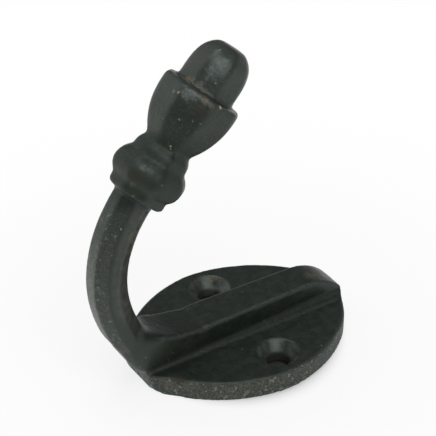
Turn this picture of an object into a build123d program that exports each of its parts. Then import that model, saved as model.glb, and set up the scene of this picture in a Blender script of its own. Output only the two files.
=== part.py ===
from build123d import *
import os
from math import asin, cos, degrees, radians, sin, tan

os.makedirs("parts", exist_ok=True)

# Cast iron coat hook, one solid, lying on its back. Millimetres.
# The back of the plate is z = 0 and +Z points away from the wall. +Y is up the wall, along the rib.
# X = 0 is the plane of symmetry, and the origin is the middle of the plate's back.

# Plate
plate_length = 50.0
plate_width = 39.9
plate_thickness = 4.5
plate_fullness = 1.82      # exponent of the outline: 2 is an ellipse, less is more pointed
plate_edge_radius = 0.35
toe_width = 11.4           # flat of the rim below the arm
toe_overhang = 0.35        # the flat's top edge beyond the outline
toe_undercut = 0.85        # the flat's bottom edge behind its top edge
toe_shoulder = 4.0         # how far up the plate the flat's sides meet the outline

# Screw holes
screw_hole_diameter = 4.8
countersink_diameter = 9.1
countersink_angle = 90.0
screw_hole_spacing = 26.6
screw_hole_rise = 1.4      # above the middle of the plate

# Rib
rib_height = 5.8           # above the plate
rib_width_arm_end = 9.6
rib_width_far_end = 7.3
rib_edge_chamfer = 0.35
rib_foot_radius_arm_end = 0.4
rib_foot_radius_far_end = 1.4
rib_end_height = 1.1       # above the plate, at the far rim
rib_end_slope_length = 10.0

# Arm: a ramp off the rib's top, a tight bend, then an arc in the plane X = 0 up to the collar
ramp_to_toe = 14.54        # from the plate's end to where the rib's top begins to rise
ramp_radius = 30.0         # inside of the ramp
ramp_depth = 9.4           # through the ramp's start, from inside to outside
ramp_end_angle = 155.4     # direction of the arm at the end of the ramp, from +Y
bend_radius = 3.0          # inside of the bend
bend_outer_chamfer = 0.8
arm_foot_angle = 122.0     # direction of the arm at the end of the bend
arm_radius = 28.0          # to the middle of the arm's depth
arm_width = 7.6
arm_depth_foot = 6.9
arm_depth_collar = 8.2
arm_inner_corner = 3.2     # depth of the inner corners' flats; the others are a true octagon's
widening_start = 90.0      # directions between which the arm widens to the rib
widening_end = 155.0
run_out_start = 98.0       # directions between which the arm's corner flats run out
run_out_end = 160.0
thickening_end = 172.0     # direction at which the ramp's depth is reached
finial_angle = 48.5        # direction of the finial's axis, from +Y

# Finial along its axis, from the underside of the collar up
ring_radius = 6.1
ring_height = 2.1
ring_bevel = 0.65
ball_radius = 7.62
ball_height = 6.4
neck_radius = 5.85
neck_height = 2.0
waist_radius = 4.8
waist_height = 1.7
cup_radius = 8.18
cup_height = 10.0
lip_height = 2.3
lip_bevel = 0.4
knob_radius = 6.0
knob_height = 10.2
knob_shoulder_radius = 5.5
knob_shoulder_depth = 3.3  # from the knob's end down to where its corner begins
knob_end_radius = 2.6
groove_depth = 0.3
tenon_length = 2.0         # length of the arm's end held in the collar

overrun = 1.0              # how far trimmed shapes run past what trims them

half_length = plate_length / 2
half_width = plate_width / 2
rib_top = plate_thickness + rib_height
octagon_corner = tan(radians(22.5))


def along_rib(arm_end, far_end, y):
    """What a size of the rib is at y, between its two ends."""
    return arm_end + (far_end - arm_end) * (y + half_length) / plate_length


def rib_half_width(y):
    return along_rib(rib_width_arm_end, rib_width_far_end, y) / 2


# Plate: its outline is one spline round the far end and down to the toe, on each side
outline_power = 2 / plate_fullness
outline_step = 15          # degrees between the spline's points
toe_end = -half_length - toe_overhang
shoulder_y = toe_shoulder - half_length
shoulder_angle = degrees(asin((-shoulder_y / half_length) ** (1 / outline_power)))


def outline_point(angle, inset):
    across = cos(radians(angle)) ** outline_power
    along = sin(radians(angle)) ** outline_power
    return (half_width - inset) * across, (half_length - inset) * along


def plate_outline(inset, toe_extension):
    """The outline set in by inset, with the toe's sides carried on past its flat."""
    side = (half_width - inset, 0)
    far_points = [outline_point(angle, inset) for angle in range(outline_step, 90, outline_step)]
    near_points = []
    for angle in range(outline_step, int(shoulder_angle) - 1, outline_step):
        x, y = outline_point(angle, inset)
        near_points.append((x, -y))
    shoulder_x, shoulder_rise = outline_point(shoulder_angle, inset)
    shoulder = (shoulder_x, -shoulder_rise)
    across, along = cos(radians(shoulder_angle)), sin(radians(shoulder_angle))
    slope_x = -half_width * across ** (outline_power - 1) * along
    slope_y = -half_length * along ** (outline_power - 1) * across
    corner = (toe_width / 2 - inset, toe_end + inset)
    carry = toe_extension / (shoulder[1] - corner[1])
    flat_end = (corner[0] + (corner[0] - shoulder[0]) * carry, corner[1] - toe_extension)
    with BuildSketch() as section:
        with BuildLine():
            Spline(side, *far_points, (0, half_length - inset), tangents=[(0, 1), (-1, 0)])
            Spline(side, *near_points, shoulder, tangents=[(0, -1), (slope_x, slope_y)])
            Polyline(shoulder, flat_end, (0, flat_end[1]))
            mirror(about=Plane.YZ)
        make_face()
    return section.sketch


with BuildPart() as plate:
    extrude(plate_outline(0, overrun), amount=plate_thickness)
    with BuildSketch(Plane.YZ):
        with BuildLine():
            lean = toe_undercut / plate_thickness * overrun
            Polyline(
                (toe_end - lean, plate_thickness + overrun),
                (toe_end + toe_undercut + lean, -overrun),
                (toe_end - 2 * overrun, -overrun),
                (toe_end - 2 * overrun, plate_thickness + overrun),
                close=True,
            )
        make_face()
    extrude(amount=half_width, both=True, mode=Mode.SUBTRACT)
    rim_edges = plate.faces().sort_by(Axis.Z)[-1].outer_wire().edges()
    fillet(rim_edges, plate_edge_radius)

# Rib: a tapering bar with chamfered top edges and flared feet, rounded down at its far end
ramp_y = -half_length + ramp_to_toe
far_end_y = half_length + overrun
rib_base = plate_thickness / 2
flare_base = plate_thickness - plate_edge_radius / 2
foot_sink = 0.1            # the flare's top edge lies this deep in the rib's wall
rib_inset = plate_edge_radius / 3


def across_plane(y):
    """Plane across the rib, with its x along X and its y along Z."""
    return Plane(origin=(0, y, 0), x_dir=(1, 0, 0), z_dir=(0, -1, 0))


def rib_section(y):
    half = rib_half_width(y)
    with BuildSketch(across_plane(y)) as section:
        with BuildLine():
            Polyline(
                (-half, rib_base),
                (-half, rib_top - rib_edge_chamfer),
                (-half + rib_edge_chamfer, rib_top),
                (half - rib_edge_chamfer, rib_top),
                (half, rib_top - rib_edge_chamfer),
                (half, rib_base),
                close=True,
            )
        make_face()
    return section.sketch


def flare_section(y):
    radius = along_rib(rib_foot_radius_arm_end, rib_foot_radius_far_end, y)
    inner = rib_half_width(y) - foot_sink
    outer = inner + radius
    flare_top = plate_thickness + radius
    with BuildSketch(across_plane(y)) as section:
        with BuildLine():
            Line((-inner, flare_top), (inner, flare_top))
            RadiusArc((inner, flare_top), (outer, plate_thickness), radius)
            Polyline(
                (outer, plate_thickness),
                (outer, flare_base),
                (-outer, flare_base),
                (-outer, plate_thickness),
            )
            RadiusArc((-outer, plate_thickness), (-inner, flare_top), radius)
        make_face()
    return section.sketch


with BuildPart() as rib:
    loft([rib_section(ramp_y), rib_section(far_end_y)], ruled=True)
    with BuildSketch(Plane.YZ):
        with BuildLine():
            slope_start = (half_length - rib_end_slope_length, rib_top)
            slope_end = (half_length, plate_thickness + rib_end_height)
            TangentArc(slope_start, slope_end, tangent=(1, 0))
            Polyline(
                slope_end,
                (far_end_y, slope_end[1]),
                (far_end_y, rib_top + overrun),
                (slope_start[0], rib_top + overrun),
                slope_start,
            )
        make_face()
    extrude(amount=rib_width_arm_end, both=True, mode=Mode.SUBTRACT)
    loft([flare_section(toe_end), flare_section(far_end_y)], ruled=True)
    extrude(plate_outline(rib_inset, 0), amount=rib_top, mode=Mode.INTERSECT)


# Arm: octagonal sections on planes across it, whose corner flats run out towards the rib
def outward(angle):
    """Unit vector (y, z) to the arm's outside, where the arm points at this angle from +Y."""
    return -sin(radians(angle)), cos(radians(angle))


def moved(start, vector, distance):
    return start[0] + vector[0] * distance, start[1] + vector[1] * distance


def smooth_share(value, start, end):
    share = min(max((value - start) / (end - start), 0), 1)
    return share * share * (3 - 2 * share)


def blend(first, last, share):
    return first + (last - first) * share


ramp_centre = (ramp_y, rib_top + ramp_radius)
bend_centre = moved(ramp_centre, outward(ramp_end_angle), ramp_radius - bend_radius)
bend_end = moved(bend_centre, outward(arm_foot_angle), bend_radius + arm_depth_foot / 2)
arm_centre = moved(bend_end, outward(arm_foot_angle), -arm_radius)
collar_middle = moved(arm_centre, outward(finial_angle), arm_radius)
finial_axis = (cos(radians(finial_angle)), sin(radians(finial_angle)))
corner_flat = arm_width / 2 * (1 - octagon_corner)


def arm_station(middle, angle, depth):
    """Section of the arm around its middle. The sketch's y points to the inside of the hook."""
    half = blend(arm_width / 2, rib_half_width(middle[0]), smooth_share(angle, widening_start, widening_end))
    run_out = smooth_share(angle, run_out_start, run_out_end)
    inner_chamfer = blend(corner_flat, rib_edge_chamfer, run_out)
    inner_depth = blend(arm_inner_corner, rib_edge_chamfer, run_out)
    outer_chamfer = blend(corner_flat, bend_outer_chamfer, run_out)
    inside = depth / 2
    plane = Plane(
        origin=(0, *middle),
        x_dir=(1, 0, 0),
        z_dir=(0, cos(radians(angle)), sin(radians(angle))),
    )
    with BuildSketch(plane) as section:
        with BuildLine():
            Polyline(
                (half - inner_chamfer, inside),
                (half, inside - inner_depth),
                (half, outer_chamfer - inside),
                (half - outer_chamfer, -inside),
                (outer_chamfer - half, -inside),
                (-half, outer_chamfer - inside),
                (-half, inside - inner_depth),
                (inner_chamfer - half, inside),
                close=True,
            )
        make_face()
    return section.sketch


arm_steps = 6
bend_steps = 2
ramp_steps = 4
tenon_end = moved(collar_middle, finial_axis, tenon_length)
arm_stations = [arm_station(tenon_end, finial_angle, arm_depth_collar)]
for step in range(arm_steps + 1):
    share = step / arm_steps
    angle = blend(finial_angle, arm_foot_angle, share)
    depth = blend(arm_depth_collar, arm_depth_foot, share)
    middle = moved(arm_centre, outward(angle), arm_radius)
    arm_stations.append(arm_station(middle, angle, depth))
foot_stations = [arm_stations[-1]]
for centre, radius, start_angle, end_angle, steps in (
    (bend_centre, bend_radius, arm_foot_angle, ramp_end_angle, bend_steps),
    (ramp_centre, ramp_radius, ramp_end_angle, 180, ramp_steps),
):
    for step in range(1, steps + 1):
        angle = blend(start_angle, end_angle, step / steps)
        depth = blend(arm_depth_foot, ramp_depth, smooth_share(angle, arm_foot_angle, thickening_end))
        middle = moved(centre, outward(angle), radius + depth / 2)
        foot_stations.append(arm_station(middle, angle, depth))

with BuildPart() as arm:
    loft(arm_stations)
    loft(foot_stations)

# Finial: every height is an octagon, made where four prisms of one profile meet around the axis
ring_top = ring_height
ball_top = ring_top + ball_height
neck_top = ball_top + neck_height
waist_middle = neck_top + waist_height
cup_top = waist_middle + cup_height
lip_top = cup_top + lip_height
knob_top = lip_top + knob_height
shoulder = knob_top - knob_shoulder_depth
knob_belly = (lip_top + shoulder) / 2

with BuildSketch() as profile:
    with BuildLine():
        Polyline(
            (0, knob_top),
            (0, 0),
            (ring_radius - ring_bevel, 0),
            (ring_radius, ring_bevel),
            (ring_radius, ring_top - groove_depth),
            (ring_radius - groove_depth, ring_top),
        )
        ThreePointArc(
            (ring_radius - groove_depth, ring_top),
            (ball_radius, (ring_top + ball_top) / 2),
            (neck_radius - groove_depth, ball_top),
        )
        Polyline(
            (neck_radius - groove_depth, ball_top),
            (neck_radius, ball_top + groove_depth),
            (neck_radius - groove_depth / 2, neck_top),
        )
        TangentArc(
            (neck_radius - groove_depth / 2, neck_top),
            (waist_radius, waist_middle),
            tangent=(0, -1),
            tangent_from_first=False,
        )
        TangentArc(
            (waist_radius, waist_middle),
            (cup_radius, cup_top),
            tangent=(0, -1),
            tangent_from_first=False,
        )
        Polyline(
            (cup_radius, cup_top),
            (cup_radius, lip_top - lip_bevel),
            (cup_radius - lip_bevel, lip_top),
            (knob_radius + groove_depth, lip_top),
            (knob_radius, lip_top - groove_depth),
            (knob_radius, knob_belly),
        )
        side = TangentArc((knob_radius, knob_belly), (knob_shoulder_radius, shoulder), tangent=(0, 1))
        TangentArc(side @ 1, (knob_end_radius, knob_top), tangent=side % 1)
        Line((knob_end_radius, knob_top), (0, knob_top))
    make_face()
    mirror(about=Plane.YZ)


def finial_plane(turn):
    """Plane through the finial's axis, turned about it from X. Its y is the axis."""
    axis_y, axis_z = finial_axis
    across, over = cos(radians(turn)), sin(radians(turn))
    return Plane(
        origin=(0, *collar_middle),
        x_dir=(across, -over * axis_z, over * axis_y),
        z_dir=(-over, -across * axis_z, across * axis_y),
    )


with BuildPart() as finial:
    for turn in (0, 45, 90, 135):
        with BuildSketch(finial_plane(turn)):
            add(profile.sketch)
        extrude(amount=2 * cup_radius, both=True, mode=Mode.INTERSECT if turn else Mode.ADD)

with BuildPart() as coat_hook:
    add(plate.part)
    add(rib.part)
    add(arm.part)
    add(finial.part)
    with Locations(Plane.XY.offset(plate_thickness)):
        with Locations(
            (-screw_hole_spacing / 2, screw_hole_rise),
            (screw_hole_spacing / 2, screw_hole_rise),
        ):
            CounterSinkHole(
                radius=screw_hole_diameter / 2,
                counter_sink_radius=countersink_diameter / 2,
                counter_sink_angle=countersink_angle,
            )

coat_hook.part.label = "coat_hook"
export_step(coat_hook.part, "parts/coat_hook.step")
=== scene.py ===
from math import cos, radians, sin

import bmesh
import bpy
import numpy as np
from mathutils import Matrix, Vector, noise


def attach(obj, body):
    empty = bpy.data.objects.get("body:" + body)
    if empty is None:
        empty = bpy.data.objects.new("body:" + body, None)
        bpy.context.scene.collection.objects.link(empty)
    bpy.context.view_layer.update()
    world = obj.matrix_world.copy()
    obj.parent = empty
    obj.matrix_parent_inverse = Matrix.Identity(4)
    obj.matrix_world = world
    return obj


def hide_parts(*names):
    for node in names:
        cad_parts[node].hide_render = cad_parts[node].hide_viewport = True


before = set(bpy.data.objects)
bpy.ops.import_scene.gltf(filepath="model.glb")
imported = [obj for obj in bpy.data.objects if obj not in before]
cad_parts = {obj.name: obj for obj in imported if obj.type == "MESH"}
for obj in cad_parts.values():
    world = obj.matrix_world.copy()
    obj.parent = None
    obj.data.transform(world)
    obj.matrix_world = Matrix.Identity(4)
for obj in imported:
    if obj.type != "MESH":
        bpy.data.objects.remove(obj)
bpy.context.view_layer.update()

MM = 0.001
scene = bpy.context.scene
scene.view_settings.view_transform = "Standard"


def heading(azimuth, elevation):
    a, e = radians(azimuth), radians(elevation)
    return Vector((sin(a) * cos(e), -cos(a) * cos(e), sin(e)))


# Casting: the hook's skin, with the soft edges and uneven surface of cast iron.
# Lengths are in mm. A pair of limits says where a fade starts and where it is complete.
MERGE_DISTANCE = 0.001
VOXEL = 0.30
SOFTENING, SOFTENING_PASSES = 0.5, 8

# The arm, rounded along its inner corners
ARM_BEHIND = (19.0, 24.0)             # behind the plate's middle
ARM_FOOT, ARM_TOP = (12.0, 22.0), (43.0, 47.0)
FACING_IN = (-0.25, 0.35)             # y of the normal
INNER_PASSES = 32
INNER_SWELL = 0.48                    # makes up for what the rounding takes off

# The finial, whose edges are worn
FINIAL_FOOT = (46.0, 49.0)
FINIAL_PASSES = 14
FINIAL_SWELL = 0.06

# The crook, where the arm's inner corner meets the rib's top edge
CROOK = (3.6, -24.6, 13.3)
CROOK_REACH = (1.8, 4.8)
CROOK_PASSES = 90

# Where the rib's top begins to rise
RAMP_START, RAMP_END = (-14.5, -12.5), (-8.5, -6.5)
RAMP_HALF_WIDTH = (2.4, 3.2)
RAMP_FACING_UP = (0.80, 0.95)         # z of the normal

# The two corners of the plate's flat toe
TOE_CORNER = (6.4, -24.8)
TOE_REACH, TOE_TOP = (0.8, 2.6), (3.4, 4.4)
TOE_PASSES = 50

# The uneven surface: how high it stands and how fine it is, per mm
SWELL_HEIGHT, SWELL_SCALE = 0.045, 0.23
GRAIN_HEIGHT, GRAIN_SCALE = 0.016, 1.15
GRAIN_FRACTAL = (0.9, 2.1, 3)         # exponent, lacunarity, octaves
PIT_DEPTH, PIT_SCALE, PIT_WALL = 0.04, 0.62, (0.10, 0.30)
FLAT_BACK = (0.0, 0.6)                # the back lies on the wall and stays flat

# Where each finish, and the painted light and painted shade, lies
HOLES = ((-13.3, 1.4), (13.3, 1.4))   # middles of the screw holes
UPRIGHT = (0.45, 0.85)                # z of the normal, either way
RIM_TOP, RIM_FROM_HOLE = (4.1, 4.9), (5.4, 5.9)   # the plate's rim, not the holes' walls
OUTSIDE_FOOT, OUTSIDE_TOP = (7.0, 13.0), (44.0, 47.0)
FACING_OUT = (0.35, 0.75)             # -y of the normal
OUTSIDE_SAND_AS_LIGHT = 0.5                    # how much of the rim's sand colour the arm's outside gets, beside the rim, there as painted light
# Where the arm's back, facing straight out, gets painted light
BACK_PAINTED_LIGHT_FOOT, BACK_PAINTED_LIGHT_TOP = (7.0, 16.0), (28.0, 44.0)
FACING_STRAIGHT_OUT = (0.80, 0.97)
BORE_TOP, BORE_REACH = (2.2, 2.6), (2.7, 3.1)
CONE_FOOT, CONE_TOP, CONE_REACH = (1.0, 2.0), (4.2, 4.7), (4.3, 4.8)
CONE_SLOPE = (0.30, 0.60)             # z of the normal
INSIDE_FOOT = (15.0, 24.0)
BULGE_PASSES = 25
EDGE_BULGE, HOLLOW_DIP = (0.09, 0.24), (0.04, 0.20)


def closed_copy(node, name):
    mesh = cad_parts[node].data.copy()
    work = bmesh.new()
    work.from_mesh(mesh)
    bmesh.ops.remove_doubles(work, verts=work.verts, dist=MERGE_DISTANCE * MM)
    work.to_mesh(mesh)
    work.free()
    piece = bpy.data.objects.new(name, mesh)
    scene.collection.objects.link(piece)
    return piece


def apply_modifiers(piece):
    depsgraph = bpy.context.evaluated_depsgraph_get()
    mesh = bpy.data.meshes.new_from_object(piece.evaluated_get(depsgraph))
    piece.modifiers.clear()
    piece.data = mesh


def per_vertex(mesh, quality):
    values = np.empty(len(mesh.vertices) * 3)
    mesh.vertices.foreach_get(quality, values)
    return values.reshape(-1, 3)


def rising(value, limits):
    low, high = limits
    share = np.clip((value - low) / (high - low), 0, 1)
    return share * share * (3 - 2 * share)


def falling(value, limits):
    return 1 - rising(value, limits)


def evened(points, mesh, passes):
    """Return the points moved halfway to their neighbours' mean, once per pass."""
    count = len(points)
    ends = np.empty(len(mesh.edges) * 2, dtype=np.int64)
    mesh.edges.foreach_get("vertices", ends)
    first, second = ends.reshape(-1, 2).T
    neighbours = np.bincount(first, minlength=count) + np.bincount(second, minlength=count)
    even = points.copy()
    for _ in range(passes):
        for axis in range(3):
            line = even[:, axis]
            total = np.bincount(first, line[second], count)
            total += np.bincount(second, line[first], count)
            even[:, axis] = 0.5 * line + 0.5 * total / neighbours
    return even


def round_off(points, mesh, passes, share, swell=0.0):
    """Round the points in place, as far as each one's share says."""
    rounded = evened(points, mesh, passes) + swell
    points += (rounded - points) * share[:, None]


def keep(mesh, name, values):
    attribute = mesh.attributes.new(name, "FLOAT", "POINT")
    attribute.data.foreach_set("value", values.astype(np.float32))


casting = closed_copy("coat_hook", "hook_casting")
remesh = casting.modifiers.new("skin", "REMESH")
remesh.mode = "VOXEL"
remesh.voxel_size = VOXEL * MM
remesh.use_smooth_shade = True
soften = casting.modifiers.new("soften", "SMOOTH")
soften.factor = SOFTENING
soften.iterations = SOFTENING_PASSES
apply_modifiers(casting)
skin = casting.data

# x, y and z are views of points, so they follow each rounding
points = per_vertex(skin, "co") / MM
normals = per_vertex(skin, "normal")
x, y, z = points.T
facing_in, facing_up = normals[:, 1], normals[:, 2]

on_arm = rising(-y, ARM_BEHIND) * rising(z, ARM_FOOT) * falling(z, ARM_TOP)
inside = on_arm * rising(facing_in, FACING_IN)
round_off(points, skin, INNER_PASSES, inside, INNER_SWELL * normals)
round_off(points, skin, FINIAL_PASSES, rising(z, FINIAL_FOOT), FINIAL_SWELL * normals)

crook_x, crook_y, crook_z = CROOK
from_crook = np.sqrt((np.abs(x) - crook_x) ** 2 + (y - crook_y) ** 2 + (z - crook_z) ** 2)
across_ramp = rising(y, RAMP_START) * falling(y, RAMP_END)
on_ramp = across_ramp * falling(np.abs(x), RAMP_HALF_WIDTH) * rising(facing_up, RAMP_FACING_UP)
round_off(points, skin, CROOK_PASSES, np.maximum(falling(from_crook, CROOK_REACH), on_ramp))

from_toe = np.hypot(np.abs(x) - TOE_CORNER[0], y - TOE_CORNER[1])
round_off(points, skin, TOE_PASSES, falling(from_toe, TOE_REACH) * falling(z, TOE_TOP))

swell, grain, pit = np.empty((3, len(points)))
for index, point in enumerate(points):
    place = Vector(point)
    swell[index] = noise.noise(place * SWELL_SCALE)
    grain[index] = noise.fractal(place * GRAIN_SCALE, *GRAIN_FRACTAL)
    pit[index] = noise.voronoi(place * PIT_SCALE)[0][0]
rise = SWELL_HEIGHT * swell + GRAIN_HEIGHT * grain - PIT_DEPTH * falling(pit, PIT_WALL)
rise *= rising(z, FLAT_BACK)

from_hole = np.min([np.hypot(x - hole_x, y - hole_y) for hole_x, hole_y in HOLES], axis=0)
rim = falling(np.abs(facing_up), UPRIGHT) * falling(z, RIM_TOP) * rising(from_hole, RIM_FROM_HOLE)
outside = rising(z, OUTSIDE_FOOT) * falling(z, OUTSIDE_TOP) * rising(-facing_in, FACING_OUT)
# Painted light: the arm's back is made lighter here
on_back = rising(z, BACK_PAINTED_LIGHT_FOOT) * falling(z, BACK_PAINTED_LIGHT_TOP) * rising(-facing_in, FACING_STRAIGHT_OUT)
in_bore = falling(z, BORE_TOP) * falling(from_hole, BORE_REACH)
on_cone = rising(z, CONE_FOOT) * falling(z, CONE_TOP)
on_cone *= falling(from_hole, CONE_REACH) * rising(facing_up, CONE_SLOPE)
bulge = np.sum((points - evened(points, skin, BULGE_PASSES)) * normals, axis=1)
# The rim's sand, and on the arm's outside the same colour as painted light
keep(skin, "sand_and_light", np.maximum(rim, OUTSIDE_SAND_AS_LIGHT * outside))
keep(skin, "back_painted_light", on_back)
keep(skin, "outside", outside)
keep(skin, "bore", in_bore)
keep(skin, "cone", on_cone)
keep(skin, "inside", inside * rising(z, INSIDE_FOOT))
keep(skin, "edge", rising(bulge, EDGE_BULGE))
keep(skin, "hollow", rising(-bulge, HOLLOW_DIP))

points += normals * rise[:, None]
points[:, 2] = np.maximum(points[:, 2], 0.0)
skin.vertices.foreach_set("co", (points * MM).ravel())
skin.update()


class Graph:
    """Makes shader nodes. Each value is a socket to link or a constant to set."""

    def __init__(self, tree):
        self.nodes, self.links = tree.nodes, tree.links

    def node(self, kind, inputs=(), **settings):
        made = self.nodes.new("ShaderNode" + kind)
        for name, value in settings.items():
            setattr(made, name, value)
        for socket, value in dict(inputs).items():
            self.put(made.inputs[socket], value)
        return made

    def put(self, socket, value):
        if isinstance(value, bpy.types.NodeSocket):
            self.links.new(value, socket)
        elif isinstance(value, tuple) and len(socket.default_value) == 4:
            socket.default_value = (*value, 1)
        else:
            socket.default_value = value

    def math(self, operation, *values):
        return self.node("Math", dict(enumerate(values)), operation=operation).outputs[0]

    def times(self, first, second):
        return self.math("MULTIPLY", first, second)

    def vector_math(self, operation, *values, output="Vector"):
        made = self.node("VectorMath", dict(enumerate(values)), operation=operation)
        return made.outputs[output]

    def scaled(self, vector, factor):
        made = self.node("VectorMath", {"Vector": vector, "Scale": factor}, operation="SCALE")
        return made.outputs["Vector"]

    def ramp(self, value, low, high, start=0.0, end=1.0):
        """Go smoothly from start, where value is low, to end, where it is high."""
        limits = {0: value, 1: low, 2: high, 3: start, 4: end}
        return self.node("MapRange", limits, interpolation_type="SMOOTHSTEP").outputs[0]

    def colour(self, share, first, second):
        made = self.node("Mix", {0: share, 6: first, 7: second}, data_type="RGBA")
        return made.outputs[2]

    def noise(self, place, scale, detail, output=0):
        inputs = {"Vector": place, "Scale": scale, "Detail": detail}
        return self.node("TexNoise", inputs).outputs[output]

    def distance(self, place, point):
        return self.vector_math("DISTANCE", place, point, output="Value")

    def millimetres(self):
        return self.scaled(self.node("TexCoord").outputs["Object"], 1 / MM)


# Material: blackened cast iron, rubbed pale in places and with a little old rust, with painted
# highlights, painted shade in hollows and on neck and ball, and painted light on arm and knob
# The iron's own black, also used as painted shade in the hollows and on neck and ball
BLACK_AND_PAINTED_SHADE = (0.0102, 0.0146, 0.0120)
GREY_GREEN = (0.0142, 0.0200, 0.0172)
SLATE = (0.0150, 0.0200, 0.0215)
# Painted light: the knob's top made lighter in place of the reflections it shows
KNOB_PAINTED_LIGHT = (0.034, 0.040, 0.036)
# Painted light: the arm's outside made lighter in place of the floor it reflects
OUTSIDE_PAINTED_LIGHT = (0.030, 0.036, 0.032)
BROWN = (0.022, 0.021, 0.014)
# The inside's brown, made lighter as painted light in place of its reflection
INNER_BROWN_AND_LIGHT = (0.076, 0.074, 0.060)
# Dust, and painted light on the arm's back and on the countersinks
DUST_AND_PAINTED_LIGHT = (0.158, 0.168, 0.154)
WORN = (0.050, 0.057, 0.052)
SAND = (0.118, 0.116, 0.094)
COOL_SAND = (0.088, 0.100, 0.094)
PALE = (0.30, 0.33, 0.29)
RUST = (0.150, 0.090, 0.040)
TAN = (0.125, 0.105, 0.068)
OLIVE = (0.022, 0.024, 0.009)
UMBER = (0.024, 0.019, 0.012)
# Painted highlight: pale patches in place of the lamp's glints on cup, knob, ball and neck
PAINTED_HIGHLIGHT = (0.150, 0.170, 0.170)
STRAW = (0.40, 0.38, 0.24)
# The bores' walls, made paler
BORE_PALER = (0.046, 0.048, 0.042)

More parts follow.
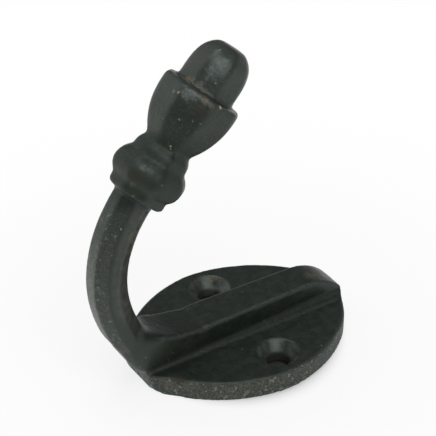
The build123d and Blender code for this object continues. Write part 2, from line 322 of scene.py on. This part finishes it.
# Middle and radius in mm, colour, strength, and how ragged the outline is in mm.
# A later mark lies over an earlier one.
MARKS = (
    # Rust and tan along the cup's lip
    ((0.9, -12.2, 68.5), 0.75, RUST, 0.85, 0.50),
    ((2.0, -11.9, 69.0), 0.60, TAN, 0.70, 0.50),
    ((3.4, -11.3, 68.4), 0.80, TAN, 0.55, 0.80),
    ((4.6, -11.2, 67.6), 0.65, TAN, 0.60, 0.60),
    ((6.0, -11.8, 67.2), 0.60, RUST, 0.60, 0.60),
    ((6.9, -12.0, 66.8), 0.75, TAN, 0.75, 0.80),
    ((7.9, -11.6, 65.7), 0.70, TAN, 0.55, 0.80),
    ((7.9, -9.4, 65.0), 0.42, STRAW, 0.95, 0.20),
    # The cup's side, with painted highlights near its lip
    ((1.7, -16.0, 67.5), 0.40, STRAW, 0.25, 0.30),
    ((3.0, -15.7, 67.8), 0.32, STRAW, 0.55, 0.20),
    ((4.2, -14.6, 67.8), 1.20, PAINTED_HIGHLIGHT, 0.62, 1.40),
    ((5.3, -13.5, 67.4), 0.90, PAINTED_HIGHLIGHT, 0.55, 1.30),
    ((6.5, -13.4, 65.4), 1.60, UMBER, 0.75, 1.20),
    ((7.3, -13.8, 64.0), 1.30, UMBER, 0.60, 1.20),
    ((4.9, -16.9, 63.2), 0.26, PALE, 0.41, 0.25),
    ((6.8, -15.0, 63.1), 0.17, PALE, 0.30, 0.25),
    ((7.9, -13.9, 62.7), 0.19, PALE, 0.34, 0.25),
    # The neck
    ((4.1, -18.3, 57.3), 0.30, STRAW, 0.90, 0.10),
    ((4.1, -18.3, 56.7), 0.30, STRAW, 0.90, 0.10),
    ((3.3, -19.1, 57.0), 0.80, OLIVE, 0.60, 0.60),
    # The ball and the ring under it
    ((4.0, -26.4, 53.6), 1.70, OLIVE, 0.85, 1.20),
    ((5.2, -25.4, 52.9), 1.70, UMBER, 0.75, 1.20),
    ((3.7, -26.7, 51.3), 0.70, TAN, 0.50, 0.70),
    ((4.4, -26.5, 49.9), 1.20, OLIVE, 0.70, 1.00),
    ((4.3, -27.1, 49.0), 0.30, PALE, 0.26, 0.30),
    ((7.6, -22.6, 51.7), 0.27, PALE, 0.38, 0.25),
    # The knob, with painted highlights along its edge
    ((5.1, -8.7, 68.6), 0.26, PALE, 0.45, 0.25),
    ((4.3, -8.2, 70.2), 1.80, PAINTED_HIGHLIGHT, 0.22, 1.20),
    ((3.7, -10.6, 68.5), 0.60, PAINTED_HIGHLIGHT, 0.50, 1.10),
    ((3.6, -9.5, 69.8), 0.75, PAINTED_HIGHLIGHT, 0.42, 1.20),
    ((3.7, -8.3, 70.8), 0.75, PAINTED_HIGHLIGHT, 0.45, 1.10),
    ((3.9, -6.9, 71.6), 0.80, PAINTED_HIGHLIGHT, 0.55, 1.10),
    ((3.9, -5.5, 72.1), 0.70, PAINTED_HIGHLIGHT, 0.60, 1.00),
    # Painted shade as black patches on neck and ball, and painted highlights on them
    ((2.0, -22.1, 57.2), 2.80, BLACK_AND_PAINTED_SHADE, 1.00, 0.80),
    ((1.5, -26.0, 55.2), 1.60, BLACK_AND_PAINTED_SHADE, 0.60, 1.00),
    ((7.2, -22.6, 52.4), 2.40, BLACK_AND_PAINTED_SHADE, 0.70, 1.20),
    ((4.2, -24.7, 54.6), 0.75, PAINTED_HIGHLIGHT, 0.42, 0.90),
    ((5.3, -23.6, 54.3), 0.75, PAINTED_HIGHLIGHT, 0.30, 0.90),
    ((3.2, -20.9, 57.0), 0.60, PAINTED_HIGHLIGHT, 0.16, 0.80),
    # The knob's top
    ((1.9, -5.7, 73.6), 0.24, PALE, 0.30, 0.25),
    # The arm
    ((3.6, -29.6, 41.8), 0.23, PALE, 0.56, 0.25),
    ((2.2, -34.5, 28.9), 0.23, PALE, 0.38, 0.25),
    ((3.1, -29.7, 24.0), 0.36, PALE, 0.26, 0.40),
    ((3.3, -32.7, 20.3), 0.27, PALE, 0.38, 0.25),
    ((4.6, -25.6, 9.0), 0.26, PALE, 0.30, 0.25),
    ((3.7, -27.4, 39.6), 1.00, TAN, 0.30, 0.90),
    ((2.4, -28.4, 30.0), 3.00, BROWN, 0.70, 1.50),
    # The rib beside the arm
    ((4.7, -21.5, 8.6), 3.40, OLIVE, 0.50, 1.50),
    ((4.9, -15.5, 7.2), 2.20, UMBER, 0.55, 1.50),
    # The far hole
    ((-16.5, 3.5, 3.8), 0.75, TAN, 0.85, 0.60),
    ((-15.7, 4.4, 4.3), 0.70, RUST, 0.50, 0.60),
    ((-15.3, 2.7, 1.9), 1.60, DUST_AND_PAINTED_LIGHT, 0.45, 0.50),
    # The plate and the rib's top
    ((8.5, -4.4, 4.5), 0.17, PALE, 0.26, 0.25),
    ((7.0, -6.7, 4.5), 0.17, PALE, 0.19, 0.25),
    ((9.9, -2.3, 4.5), 0.17, PALE, 0.22, 0.25),
    ((16.4, 10.2, 4.5), 0.30, PALE, 0.22, 0.30),
    ((-1.6, 2.2, 10.3), 0.26, PALE, 0.11, 0.30),
    ((0.8, 18.2, 9.8), 1.60, TAN, 0.35, 1.20),
    # The toe
    ((8.5, -22.0, 3.0), 2.00, TAN, 0.40, 1.50),
    ((11.5, -19.2, 3.0), 1.60, TAN, 0.35, 1.50),
    ((9.2, -20.5, 4.5), 1.60, UMBER, 0.80, 1.00),
)

SPECK_RADIUS = 0.45                   # mm, a larger mark is patchy
MARK_FADE = (1.25, 0.45)              # of the radius, where a mark starts and is complete
WANDER = 2.5                          # brings the centred noise to about one unit

ROUGHNESS = (0.37, 0.46)              # from darker to lighter clouds
SAND_ROUGHNESS = 0.22
HOLLOW_ROUGHNESS = 0.12
EDGE_ROUGHNESS = 0.15
MARK_ROUGHNESS = 0.15
NECK_ROUGHNESS = 0.12
NECK_FOOT, NECK_TOP = (46.0, 49.0), (61.0, 58.0)   # mm

CLOUD_RELIEF = 0.022                  # mm
FINE_RELIEF = (0.024, 0.040)          # mm, on the arm and on the finial
GRIT_RELIEF = (0.006, 0.036)          # mm, on plain and on sandy places
FINIAL_HEIGHT = (46.0, 60.0)          # mm, where the finial's stronger relief comes in

SPECULAR = 0.5
SPECULAR_TINT = (0.86, 1.0, 0.90)

iron = bpy.data.materials.new("blackened_iron")
iron.use_nodes = True
graph = Graph(iron.node_tree)
graph.nodes.clear()
place = graph.millimetres()
edge, hollow, sand_and_light, back_painted_light, inner, outer, cone, bore = (
    graph.node("Attribute", attribute_name=name).outputs["Fac"]
    for name in ("edge", "hollow", "sand_and_light", "back_painted_light", "inside", "outside", "cone", "bore")
)
upward = graph.node("SeparateXYZ", {0: place}).outputs["Z"]
broad = graph.noise(place, scale=0.16, detail=4.0)
cloudy = graph.noise(place, scale=0.60, detail=4.0)
blotchy = graph.noise(place, scale=0.85, detail=3.0)
crumbly = graph.noise(place, scale=1.15, detail=3.5)
smudgy = graph.noise(place, scale=1.7, detail=4.0)
fine = graph.noise(place, scale=2.2, detail=4.0)
sandy_grain = graph.noise(place, scale=2.9, detail=3.0)
patchy = graph.noise(place, scale=3.2, detail=3.0)
gritty = graph.noise(place, scale=4.5, detail=2.0)

cells = graph.node("TexVoronoi", {"Vector": place, "Scale": 0.42})
lot = graph.node("SeparateColor", {0: cells.outputs["Color"]}).outputs[0]
dots = graph.times(
    graph.ramp(cells.outputs["Distance"], 0.085, 0.045),
    graph.ramp(lot, 0.62, 0.95, end=0.35),
)
smudges = graph.ramp(smudgy, 0.50, 0.68, end=0.40)
grains = graph.ramp(sandy_grain, 0.40, 0.68, 0.10, 0.95)
crumbs = graph.ramp(crumbly, 0.58, 0.70, end=0.65)
sand = graph.colour(graph.ramp(broad, 0.42, 0.58), COOL_SAND, SAND)

# Coats of colour from the lowest to the top one, each with its share
coats = (
    # The blacking's blotches
    (graph.ramp(broad, 0.54, 0.72, end=0.5), BROWN),
    (graph.ramp(blotchy, 0.54, 0.66, end=0.55), SLATE),
    (graph.ramp(blotchy, 0.45, 0.33, end=0.45), BROWN),
    # The knob, lighter towards its top as painted light, and smudges on the rest of the finial
    (graph.ramp(upward, 63.0, 69.0, end=0.8), KNOB_PAINTED_LIGHT),
    (graph.times(smudges, graph.ramp(upward, 47.0, 60.0)), WORN),
    # Painted light on the arm's outside, the countersinks, the arm's inside and its back; the
    # countersinks also dusty and the inside also brown
    (graph.times(outer, 0.7), OUTSIDE_PAINTED_LIGHT),
    (graph.times(cone, graph.ramp(cloudy, 0.35, 0.65, 0.10, 0.32)), DUST_AND_PAINTED_LIGHT),
    (graph.times(inner, graph.ramp(cloudy, 0.35, 0.65, 0.35, 1.0)), INNER_BROWN_AND_LIGHT),
    (graph.times(back_painted_light, graph.ramp(fine, 0.30, 0.60, 0.35, 1.0)), DUST_AND_PAINTED_LIGHT),
    # Painted shade in the hollows, and rubbed edges
    (graph.times(hollow, 0.8), BLACK_AND_PAINTED_SHADE),
    (graph.times(edge, graph.ramp(fine, 0.35, 0.70, 0.25, 0.9)), WORN),
    # The sandy rim, with the same sand on the arm's outside as painted light, the bores, and pale
    # crumbs and dots
    (graph.times(sand_and_light, grains), sand),
    (bore, BORE_PALER),
    (graph.times(sand_and_light, crumbs), PALE),
    (dots, PALE),
)
tone = graph.colour(graph.ramp(cloudy, 0.36, 0.68), BLACK_AND_PAINTED_SHADE, GREY_GREEN)
for share, pigment in coats:
    tone = graph.colour(share, tone, pigment)

wander = graph.noise(place, scale=1.1, detail=3.0, output="Color")
centred = graph.vector_math("SUBTRACT", wander, (0.5, 0.5, 0.5))
patches = graph.ramp(patchy, 0.36, 0.60, 0.40, 1.0)
marked = 0.0
for middle, radius, pigment, strength, raggedness in MARKS:
    moved = graph.vector_math("ADD", place, graph.scaled(centred, WANDER * raggedness))
    start, complete = (limit * radius for limit in MARK_FADE)
    share = graph.ramp(graph.distance(moved, middle), start, complete, end=strength)
    if radius > SPECK_RADIUS:
        share = graph.times(share, patches)
    tone = graph.colour(share, tone, pigment)
    marked = graph.math("MAXIMUM", marked, share)

neck = graph.times(graph.ramp(upward, *NECK_FOOT), graph.ramp(upward, *NECK_TOP))
roughness = graph.ramp(cloudy, 0.30, 0.70, *ROUGHNESS)
for share, extra in (
    (sand_and_light, SAND_ROUGHNESS),
    (hollow, HOLLOW_ROUGHNESS),
    (edge, EDGE_ROUGHNESS),
    (marked, MARK_ROUGHNESS),
    (neck, NECK_ROUGHNESS),
):
    roughness = graph.math("ADD", roughness, graph.times(share, extra))

relief = graph.times(cloudy, CLOUD_RELIEF)
for texture, height in (
    (fine, graph.ramp(upward, *FINIAL_HEIGHT, *FINE_RELIEF)),
    (gritty, graph.ramp(sand_and_light, 0.0, 1.0, *GRIT_RELIEF)),
):
    relief = graph.math("ADD", relief, graph.times(texture, height))
bump = graph.node("Bump", {"Strength": 1.0, "Distance": MM, "Height": relief})

shader = graph.node("BsdfPrincipled", {
    "Base Color": tone,
    "Roughness": roughness,
    "Normal": bump.outputs[0],
    "Specular IOR Level": SPECULAR,
    "Specular Tint": SPECULAR_TINT,
})
graph.node("OutputMaterial", {0: shader.outputs[0]})

skin.materials.clear()
skin.materials.append(iron)
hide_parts("coat_hook")
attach(casting, "root")


# Floor: white paper, with a painted shadow under the plate, where the screw holes show it
PAPER = (0.96, 0.96, 0.96)
PAPER_ROUGHNESS = 0.9
# Painted shadow: the paper is dark under the plate, in place of the shade there
PAINTED_SHADOW_UNDER_PLATE = (0.042, 0.041, 0.038)
FOOTPRINT = (17.0, 18.0)              # mm from the middle, where the painted shadow ends
FLOOR_REACH = 1.6                     # m from the middle to a side
FLOOR_DROP = 0.02                     # mm, how far it lies below the plate

# The paper's own glow: for the camera most of it is there, and shadows show faintly.
# For reflections all of it is.
GLOW_START = (18.0, 24.0)             # mm from the middle
SEEN_LIMITS, SEEN_GLOW = (22.0, 100.0), (0.82, 0.99)
SHADE_MIDDLE = (130.0, -220.0, 0.0)   # mm, around it the paper is darker in reflections
SHADE_LIMITS, SHADE_DEPTH = (70.0, 190.0), 0.65

corners = ((-1, -1), (1, -1), (1, 1), (-1, 1))
floor_mesh = bpy.data.meshes.new("floor")
floor_mesh.from_pydata(
    [(FLOOR_REACH * side, FLOOR_REACH * end, -FLOOR_DROP * MM) for side, end in corners],
    [],
    [(0, 1, 2, 3)],
)
floor = bpy.data.objects.new("floor", floor_mesh)
scene.collection.objects.link(floor)
pale = bpy.data.materials.new("pale_floor")
pale.use_nodes = True
graph = Graph(pale.node_tree)
graph.nodes.clear()
place = graph.millimetres()
from_middle = graph.distance(place, (0.0, 0.0, 0.0))
paper = graph.node("BsdfPrincipled", {
    "Base Color": graph.colour(graph.ramp(from_middle, *FOOTPRINT), PAINTED_SHADOW_UNDER_PLATE, PAPER),
    "Roughness": PAPER_ROUGHNESS,
    "Specular IOR Level": 0.0,
})
ray = graph.node("LightPath").outputs
seen = graph.times(ray["Is Camera Ray"], graph.ramp(from_middle, *SEEN_LIMITS, *SEEN_GLOW))
mirrored = graph.math("MAXIMUM", ray["Is Glossy Ray"], ray["Is Transmission Ray"])
lit = graph.times(graph.math("MAXIMUM", seen, mirrored), graph.ramp(from_middle, *GLOW_START))
shade = graph.ramp(graph.distance(place, SHADE_MIDDLE), *SHADE_LIMITS, SHADE_DEPTH, 0.0)
brightness = graph.math("SUBTRACT", 1.0, graph.times(mirrored, shade))
glow = graph.node("Emission", {"Color": (1.0, 1.0, 1.0), "Strength": brightness})
both = graph.node("MixShader", {0: lit, 1: paper.outputs[0], 2: glow.outputs[0]})
graph.node("OutputMaterial", {0: both.outputs[0]})
floor_mesh.materials.append(pale)


# Light: two soft lamps, and a world with a window in it
LIT_POINT = Vector((0, 0, 0.03))      # m, about the middle of the hook
WINDOW_AZIMUTH, WINDOW_ELEVATION = -52, 14
WINDOW_EDGE, WINDOW_STRENGTH = (0.62, 0.94), 0.78
HORIZON_LIMITS, HORIZON_STRENGTH = (-0.05, 0.45), (0.38, 0.10)


def area_light(name, azimuth, elevation, distance, size, power):
    data = bpy.data.lights.new(name, "AREA")
    data.shape = "DISK"
    data.size = size
    data.energy = power
    lamp = bpy.data.objects.new(name, data)
    scene.collection.objects.link(lamp)
    back = heading(azimuth, elevation)
    lamp.location = LIT_POINT + back * distance
    lamp.rotation_mode = "QUATERNION"
    lamp.rotation_quaternion = (-back).to_track_quat("-Z", "Y")


area_light("key", azimuth=80, elevation=55, distance=0.9, size=0.62, power=3.4)
area_light("overhead", azimuth=-90, elevation=80, distance=0.9, size=0.60, power=3.0)

world = bpy.data.worlds.new("studio")
scene.world = world
world.use_nodes = True
graph = Graph(world.node_tree)
background = graph.nodes["Background"]
direction = graph.node("TexCoord").outputs["Generated"]
height = graph.node("SeparateXYZ", {0: direction}).outputs["Z"]
horizon_light = graph.ramp(height, *HORIZON_LIMITS, *HORIZON_STRENGTH)
window = tuple(heading(WINDOW_AZIMUTH, WINDOW_ELEVATION))
facing = graph.vector_math("DOT_PRODUCT", direction, window, output="Value")
window_light = graph.ramp(facing, *WINDOW_EDGE, end=WINDOW_STRENGTH)
strength = graph.math("ADD", horizon_light, window_light)
is_camera = graph.node("LightPath").outputs["Is Camera Ray"]
graph.put(background.inputs["Color"], (1.0, 1.0, 1.0))
graph.put(background.inputs["Strength"], graph.math("MAXIMUM", strength, is_camera))


# Camera, at the photograph's viewing angle
CAMERA_AZIMUTH, CAMERA_ELEVATION = 57.12, 34.63
CAMERA_DISTANCE = 450.0               # mm
AIM = Vector((-40.488, 21.244, -0.193))   # mm, the point in the middle of the picture
FOCAL_PIXELS, IMAGE_PIXELS = 1924.1, 436
SENSOR_WIDTH = 36                     # mm
CLIP = (0.01, 20)                     # m

back = heading(CAMERA_AZIMUTH, CAMERA_ELEVATION)
right = Vector((cos(radians(CAMERA_AZIMUTH)), sin(radians(CAMERA_AZIMUTH)), 0))
up = back.cross(right)
camera_data = bpy.data.cameras.new("camera")
camera_data.sensor_width = SENSOR_WIDTH
camera_data.lens = FOCAL_PIXELS * SENSOR_WIDTH / IMAGE_PIXELS
camera_data.clip_start, camera_data.clip_end = CLIP
camera = bpy.data.objects.new("camera", camera_data)
scene.collection.objects.link(camera)
turn = Matrix((right, up, back)).transposed().to_4x4()
camera.matrix_world = Matrix.Translation((AIM + back * CAMERA_DISTANCE) * MM) @ turn
scene.camera = camera
